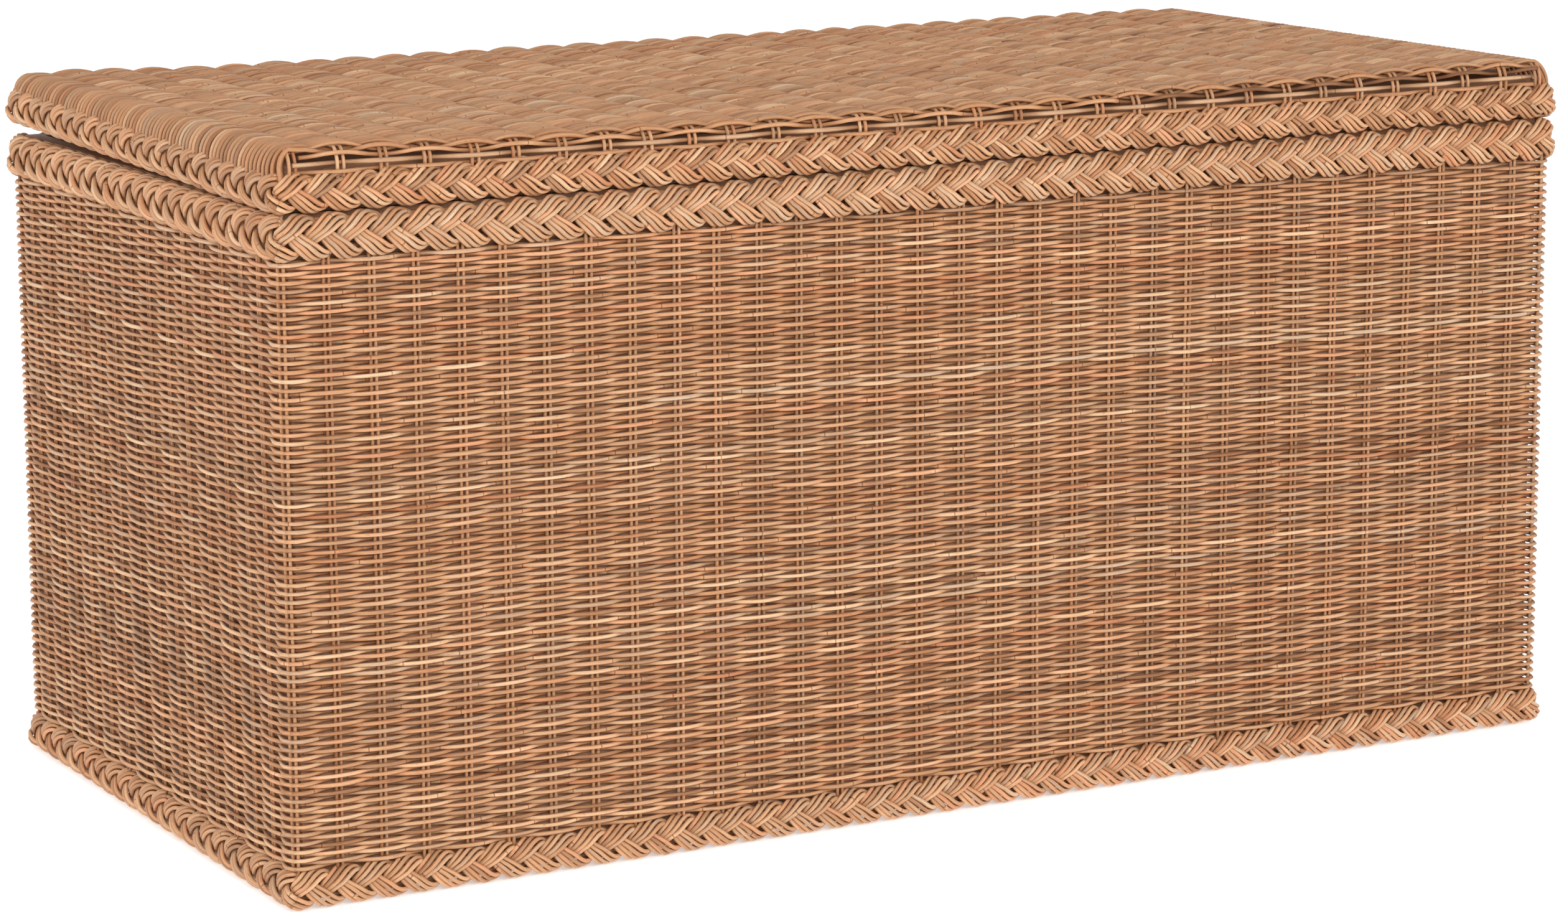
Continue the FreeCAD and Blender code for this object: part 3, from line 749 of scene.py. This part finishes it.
def make_lid(weave, cane, lean):
    top = level_span("lid_top_weave", lean, 2)[1]
    outer_x = level_span("lid_end_right", lean, 0)[1]
    outer_y = level_span("lid_band_back", lean, 1)[1]
    shoulder = level_span("lid_end_right", lean, 2)[0]
    middle = top - LID_HALF_WEAVE
    edge_x, edge_y = outer_x - LID_HALF_WEAVE, outer_y - LID_HALF_WEAVE
    bend_x = edge_x - LID_END_BEND
    canes = np.linspace(LID_CANE_MARGIN - outer_x, outer_x - LID_CANE_MARGIN, LID_SPACES + 1)
    jitter = RNG.normal(0, 1.2 * MM, LID_SPACES + 1)
    jitter[[0, -1]] = 0
    canes = canes + jitter

    # Where rows lie across the lid: the flat top, then down each long edge.
    flat_y = edge_y - LID_BAND_BEND
    rows = int(round(2 * flat_y / LID_ROW_PITCH))
    flat_rows = np.linspace(-flat_y, flat_y, rows + 1)

    def edge_at(distance):
        """Depth in y from the flat, drop in z and facing angle at a distance round a long edge."""
        arc = LID_BAND_BEND * math.pi / 2
        if distance < arc:
            turn = distance / LID_BAND_BEND
            return LID_BAND_BEND * math.sin(turn), LID_BAND_BEND * (1 - math.cos(turn)), turn
        return LID_BAND_BEND, LID_BAND_BEND + distance - arc, math.pi / 2

    front_spots = [(-1, gap) for gap in reversed(BAND_ROW_GAPS)]
    back_spots = [(1, gap) for gap in BAND_ROW_GAPS]
    spots = front_spots + [(0, y) for y in flat_rows] + back_spots
    nodes = {
        "lid_top_front_rods": ["lid_top_weave", "lid_end_left", "lid_end_right"],
        "lid_top_back_rods": ["lid_top_weave", "lid_end_left", "lid_end_right"],
        "lid_band_front_rods": ["lid_band_front"],
        "lid_band_back_rods": ["lid_band_back"],
    }
    bundles = {name: Bundle() for name in nodes}
    u_flat = np.arange(LID_SPACES * SAMPLES_PER_SPACE + 1) / SAMPLES_PER_SPACE
    x_flat = np.interp(u_flat, np.arange(LID_SPACES + 1), canes)
    drop = np.linspace(0, 1, 9)[1:]
    for index, (side, value) in enumerate(spots):
        band = side != 0
        loose = band and value > BAND_ROW_GAPS[0]
        sign = 1 - 2 * (index % 2)
        if band:
            dy, dz, turn = edge_at(value)
            y0, z0 = side * (flat_y + dy), middle - dz
            out = np.array([0.0, side * math.sin(turn), math.cos(turn)])
        else:
            y0, z0 = value, middle
            out = np.array([0.0, 0.0, 1.0])
        reach = WEAVE_AMPLITUDE * RNG.normal(1.0, 0.06, LID_SPACES + 1)
        swing = sign * np.cos(math.pi * u_flat)
        swing = np.sign(swing) * np.abs(swing) ** CROSSING_SHARPNESS
        fade = np.ones(len(u_flat))
        fade[:len(LID_EDGE_FADE)] = LID_EDGE_FADE
        fade[-len(LID_EDGE_FADE):] = LID_EDGE_FADE[::-1]
        depth = swing * fade * np.interp(u_flat, np.arange(LID_SPACES + 1), reach)
        knots = RNG.normal(0, 0.22 * MM, LID_SPACES + 1)
        drift = np.interp(u_flat, np.arange(LID_SPACES + 1), knots)
        along_wave = 1.2 * MM * np.sin(2 * math.pi * x_flat / 0.9 + 1.0)
        along_wave = along_wave + 0.6 * MM * np.sin(2 * math.pi * x_flat / 0.31)
        ease = max(0.0, 1 - (abs(y0) / flat_y) ** 4)
        sideways = drift + along_wave * ease
        across = np.array([0.0, 1.0, 0.0])
        held = 0.0
        if band:
            across = np.array([0.0, side * math.cos(turn), -math.sin(turn)]) * 0.5
            held = min(value / BAND_ROW_GAPS[-1], 1.0)
        points = np.array([0.0, y0, z0]) + out * depth[:, None] + across * sideways[:, None]
        points[:, 0] = x_flat
        points[:, 2] += settle(x_flat, y0, edge_y) * (1 - held)
        # Painted shade: rods are painted darker where they pass under the canes.
        shade_depth = swing.copy()
        tones = np.zeros(len(points))
        ups = np.tile(out, (len(points), 1))
        if loose:
            # The looser rows stop at the corners with cut ends.
            trim = int(RNG.integers(0, 2)), int(RNG.integers(0, 2))
            cut = slice(trim[0], len(points) - trim[1])
            points, shade_depth, ups, tones = points[cut], shade_depth[cut], ups[cut], tones[cut]
        else:
            # The other rows bend down over the soft ends, side by side, into the border.
            inset_plan = max(0.0, abs(y0) - (outer_y - LID_CORNER_RADIUS))
            pull = LID_CORNER_RADIUS - math.sqrt(max(LID_CORNER_RADIUS ** 2 - inset_plan ** 2, 0.0))
            fan = max(0.0, (abs(y0) - FAN_START) / FAN_RUN) ** 2 * FAN_REACH * math.copysign(1, y0)
            for end in (-1, 1):
                turn = drop * math.pi / 2
                over = swing[0 if end < 0 else -1]
                relief = over * LID_END_RELIEF
                radius = LID_END_BEND + relief
                height = settle(end * edge_x, y0, edge_y) * (1 - drop * 0.6)
                xs = end * (bend_x - pull * drop + radius * np.sin(turn))
                zs = z0 + relief + height - radius * (1 - np.cos(turn))
                ys = y0 + fan * drop ** 1.5 + smooth_noise(drop, 0.5, 0.35 * MM, RNG)
                tail = np.stack([xs, ys, zs], 1)
                hidden = [xs[-1], ys[-1], shoulder - TAIL_HIDDEN]
                tip = [xs[-1] - end * TAIL_LEAN, ys[-1], shoulder - TAIL_TIP]
                tail = np.vstack([tail, hidden, tip])
                facing = np.stack([end * np.sin(turn), 0 * turn, np.cos(turn)], 1)
                facing = np.vstack([facing, facing[-1:], facing[-1:]])
                keep = np.abs(points[:, 0]) < bend_x + 0.5 * MM
                if end < 0:
                    keep |= points[:, 0] > 0
                    points, shade_depth, ups, tones = points[keep], shade_depth[keep], ups[keep], tones[keep]
                    points = np.vstack([tail[::-1], points])
                    ups = np.vstack([facing[::-1], ups])
                    shade_depth = np.concatenate([np.full(len(tail), over), shade_depth])
                    tones = np.concatenate([np.linspace(TAIL_LOW_TONE, TAIL_TOP_TONE, len(tail)), tones])
                else:
                    keep |= points[:, 0] < 0
                    points, shade_depth, ups, tones = points[keep], shade_depth[keep], ups[keep], tones[keep]
                    points = np.vstack([points, tail])
                    ups = np.vstack([ups, facing])
                    shade_depth = np.concatenate([shade_depth, np.full(len(tail), over)])
                    tones = np.concatenate([tones, np.linspace(TAIL_TOP_TONE, TAIL_LOW_TONE, len(tail))])
        tangents, along = slopes(points), lengths(points)
        if band:
            bundle = bundles["lid_band_front_rods" if side < 0 else "lid_band_back_rods"]
        else:
            bundle = bundles["lid_top_front_rods" if y0 < 0 else "lid_top_back_rods"]
        count = int(RNG.integers(0, 3))
        cuts = RNG.choice(np.arange(20, len(points) - 20), count, replace=False)
        cuts = [0, *sorted(cuts), len(points) - 1]
        for first, last in zip(cuts[:-1], cuts[1:]):
            tone, hue = pick_tone(RNG)
            part = slice(first, last + 1)
            thick = RNG.uniform(0.94, 1.08) * (1.04 if band else 1.0)
            radius = WEAVER_RADIUS * thick * (1 + smooth_noise(along[part], 0.07, 0.05, RNG))
            bundle.add(
                points[part], tangents[part], ups[part], radius, along[part] + RNG.uniform(0, 3),
                np.clip(tone + tones[part], 0, 1), hue, shade_depth[part],
            )
    for name, bundle in bundles.items():
        lean_bundle(bundle, lean)
        place(bundle, name, weave, "lid", nodes[name])

    bundle = Bundle()
    reach = LID_BAND_BEND * math.pi / 2 + (middle - LID_BAND_BEND - shoulder) + 5 * MM
    edge = np.linspace(0, reach, 14)[1:]
    for i, at in enumerate(canes):
        for half in (-1, 1):
            rim = [edge_at(e) for e in edge]
            dy = np.array([r[0] for r in rim])
            dz = np.array([r[1] for r in rim])
            tilt = np.array([r[2] for r in rim])
            ys = np.linspace(-flat_y, flat_y, 30)
            y = np.concatenate([-(flat_y + dy[::-1]), ys, flat_y + dy])
            z = np.concatenate([middle - dz[::-1], np.full(len(ys), middle), middle - dz])
            hold = 1 - np.clip((np.abs(y) - flat_y) / LID_BAND_BEND, 0, 1) * 0.5
            hold = hold * np.clip(1 - (middle - z) / (middle - shoulder), 0, 1)
            z = z + settle(at, y, edge_y) * hold
            facing = np.concatenate([-tilt[::-1], 0 * ys, tilt])
            x = at + half * CANE_SPREAD / 2 + smooth_noise(y, 0.07, 0.5 * MM, RNG)
            x = x + half * 0.35 * MM * (np.abs(y) > flat_y - 5 * MM)
            if i in (0, LID_SPACES):
                z = z - 0.6 * MM
            points = np.stack([x, y, z], 1)
            ups = np.stack([0 * y, np.sin(facing), np.cos(facing)], 1)
            tone, hue = pick_tone(RNG)
            radius = CANE_RADIUS * RNG.uniform(0.98, 1.10)
            along = lengths(points) + RNG.uniform(0, 3)
            bundle.add(points, slopes(points), ups, radius, along, tone, hue, 0.2)
    lean_bundle(bundle, lean)
    place(bundle, "lid_cane_rods", cane, "lid", ["lid_canes"])


# ---------------------------------------------------------------- floor of the chest

def make_floor(weave, cane):
    low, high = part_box("floor_weave")
    middle = (low.z + high.z) / 2
    canes = np.linspace(low.x + 4 * MM, high.x - 4 * MM, LID_SPACES + 2)[1:-1]
    ends = np.concatenate([[low.x + 1 * MM], canes, [high.x - 1 * MM]])
    count = len(ends) - 1
    u = np.arange(count * FLOOR_SAMPLES_PER_SPACE + 1) / FLOOR_SAMPLES_PER_SPACE
    x = np.interp(u, np.arange(count + 1), ends)
    rows = int((high.y - low.y) / FLOOR_ROW_PITCH)
    ys = np.linspace(low.y + WEAVER_RADIUS, high.y - WEAVER_RADIUS, rows)
    bundle = Bundle()
    for row, y in enumerate(ys):
        swing = (1 - 2 * (row % 2)) * np.cos(math.pi * u)
        z = middle + swing * WEAVE_AMPLITUDE
        points = np.stack([x, np.full(len(x), y) + smooth_noise(x, 0.05, 0.15 * MM, RNG), z], 1)
        tone, hue = pick_tone(RNG)
        # swing also sets the painted shade: a floor rod is painted darker where it passes under the canes.
        bundle.add(
            points, slopes(points), np.array([[0.0, 1.0, 0.0]]), WEAVER_RADIUS, x + RNG.uniform(0, 3),
            tone, hue, swing * 0.8, FLOOR_WEAVER_SIDES,
        )
    place(bundle, "floor_weave_rods", weave, "chest", ["floor_weave"])
    bundle = Bundle()
    y = np.linspace(low.y, high.y, 24)
    for at in canes:
        for half in (-1, 1):
            x = at + half * CANE_SPREAD / 2 + smooth_noise(y, 0.08, 0.4 * MM, RNG)
            points = np.stack([x, y, np.full(len(y), middle)], 1)
            tone, hue = pick_tone(RNG)
            bundle.add(
                points, slopes(points), UP, CANE_RADIUS, y + RNG.uniform(0, 3),
                tone, hue, 0.0,
            )
    place(bundle, "floor_cane_rods", cane, "chest", ["floor_canes"])


# ---------------------------------------------------------------- carried-over CAD nodes

def dress(names, material):
    for name in names:
        obj = frame["nodes"][name]
        obj.data.materials.clear()
        obj.data.materials.append(material)


def dress_nodes():
    dark, light = (0.220, 0.100, 0.050), (0.460, 0.235, 0.125)
    woods = [wood_material("stained_wood_" + axis, i, dark, light) for i, axis in enumerate("xyz")]
    steel = metal_material("hinge_steel", (0.42, 0.40, 0.37), (0.20, 0.17, 0.14), 0.40)
    brass = metal_material("screw_brass", (0.62, 0.44, 0.20), (0.30, 0.20, 0.10), 0.36)
    pieces = ("floor_rail_", "rim_board_", "lid_board_", "lining_")
    along_x = ["lid_lining", *(piece + side for piece in pieces for side in ("front", "back"))]
    along_y = [piece + side for piece in (*pieces, "lid_bar_") for side in ("left", "right")]
    along_z = ["corner_post_" + a + "_" + b for a in ("front", "back") for b in ("left", "right")]
    for names, wood in zip((along_x, along_y, along_z), woods):
        dress(names, wood)
    dress(["hinge_pins", "chest_hinge_leaves", "lid_hinge_leaves"], steel)
    dress(["chest_hinge_screws", "lid_hinge_screws"], brass)


# ---------------------------------------------------------------- floor, light and camera

CEILING = 0.45


def make_stage():
    material, tree, shader = new_material("studio_floor")
    shader.inputs["Base Color"].default_value = (0.92, 0.92, 0.92, 1)
    shader.inputs["Roughness"].default_value = 0.85
    shader.inputs["Emission Color"].default_value = (1, 1, 1, 1)
    shader.inputs["Emission Strength"].default_value = 0.45
    bpy.ops.mesh.primitive_plane_add(size=60, location=(0, 0, -0.0005))
    ground = bpy.context.object
    ground.name = "studio_floor"
    ground.data.materials.append(material)
    world = bpy.data.worlds.new("studio")
    world.use_nodes = True
    tree = world.node_tree
    tree.nodes["Background"].inputs[0].default_value = (1, 1, 1, 1)
    # A bright wall all round, and a dimmer ceiling, so that the lid is no lighter than the sides.
    where = node(tree, "TexCoord")
    split = node(tree, "SeparateXYZ")
    tree.links.new(where.outputs["Generated"], split.inputs[0])
    strength = remap(tree, split.outputs[2], 0.15, 0.85, 1.0, CEILING)
    tree.links.new(strength, tree.nodes["Background"].inputs[1])
    bpy.context.scene.world = world


def area_light(name, place_at, target, size, power):
    data = bpy.data.lights.new(name, "AREA")
    data.shape = "RECTANGLE"
    data.size, data.size_y = size
    data.energy = power
    obj = bpy.data.objects.new(name, data)
    obj.location = place_at
    obj.rotation_mode = "QUATERNION"
    obj.rotation_quaternion = (Vector(target) - Vector(place_at)).to_track_quat("-Z", "Y")
    bpy.context.scene.collection.objects.link(obj)


def make_camera():
    yaw, pitch, roll = math.radians(28.678), math.radians(11.119), math.radians(-0.274)
    forward = Vector((math.sin(yaw) * math.cos(pitch), math.cos(yaw) * math.cos(pitch), -math.sin(pitch)))
    data = bpy.data.cameras.new("camera")
    data.lens = 105.87
    data.sensor_width = 36.0
    data.clip_start, data.clip_end = 0.1, 100
    camera = bpy.data.objects.new("camera", data)
    camera.location = (-1.5733, -2.8695, 0.8467)
    camera.rotation_mode = "QUATERNION"
    camera.rotation_quaternion = forward.to_track_quat("-Z", "Y") @ Quaternion((0, 0, 1), roll)
    bpy.context.scene.collection.objects.link(camera)
    bpy.context.scene.camera = camera


make_camera()
make_stage()
area_light("key", (-1.2, -3.6, 2.2), (0, 0, 0.25), (2.0, 1.6), 74)
area_light("fill", (3.0, -2.0, 1.6), (0, 0, 0.3), (2.0, 2.0), 20)
area_light("left_fill", (-3.4, -0.4, 1.2), (0, 0, 0.25), (1.6, 1.6), 22)
bpy.context.scene.view_settings.view_transform = "Standard"

weave_cane = cane_material("woven_cane")
stake_cane = cane_material("stake_cane", brightness=0.9, recess_shade=0.7)
plait_cane = cane_material("plaited_cane", brightness=1.0, recess_shade=0.75)
# Painted shade: the lid's cane is a darker copy of the cane, because the lid top faces the light from above.
lid_cane_painted_darker = cane_material("lid_cane_painted_darker", brightness=0.91)

make_walls(weave_cane, stake_cane)
LEAN = Lean()
base_low, base_high = node_span("base_plait_front", 2)
base_half = (base_high - base_low) / 2 - BASE_PLAIT_TRIM
base_middle = (base_low + base_high) / 2 + BASE_PLAIT_LIFT
plait("base_plait", "chest", plait_cane, base_half, base_middle, BASE_PLAIT_SWING, BASE_PLAIT_FLARE)
rim_low, rim_high = node_span("rim_plait_front", 2)
rim_half = (rim_high - rim_low) / 2 - PLAIT_TRIM
plait("rim_plait", "chest", plait_cane, rim_half, (rim_low + rim_high) / 2, RIM_PLAIT_SWING, 0.0)
lid_low, lid_high = level_span("lid_plait_front", LEAN, 2)
lid_half = (lid_high - lid_low) / 2 - PLAIT_TRIM
lid_middle = (lid_low + lid_high) / 2 + LID_PLAIT_LIFT
plait("lid_plait", "lid", plait_cane, lid_half, lid_middle, LID_PLAIT_SWING, 0.0, LEAN)
make_lid(lid_cane_painted_darker, stake_cane, LEAN)
make_floor(weave_cane, stake_cane)
dress_nodes()
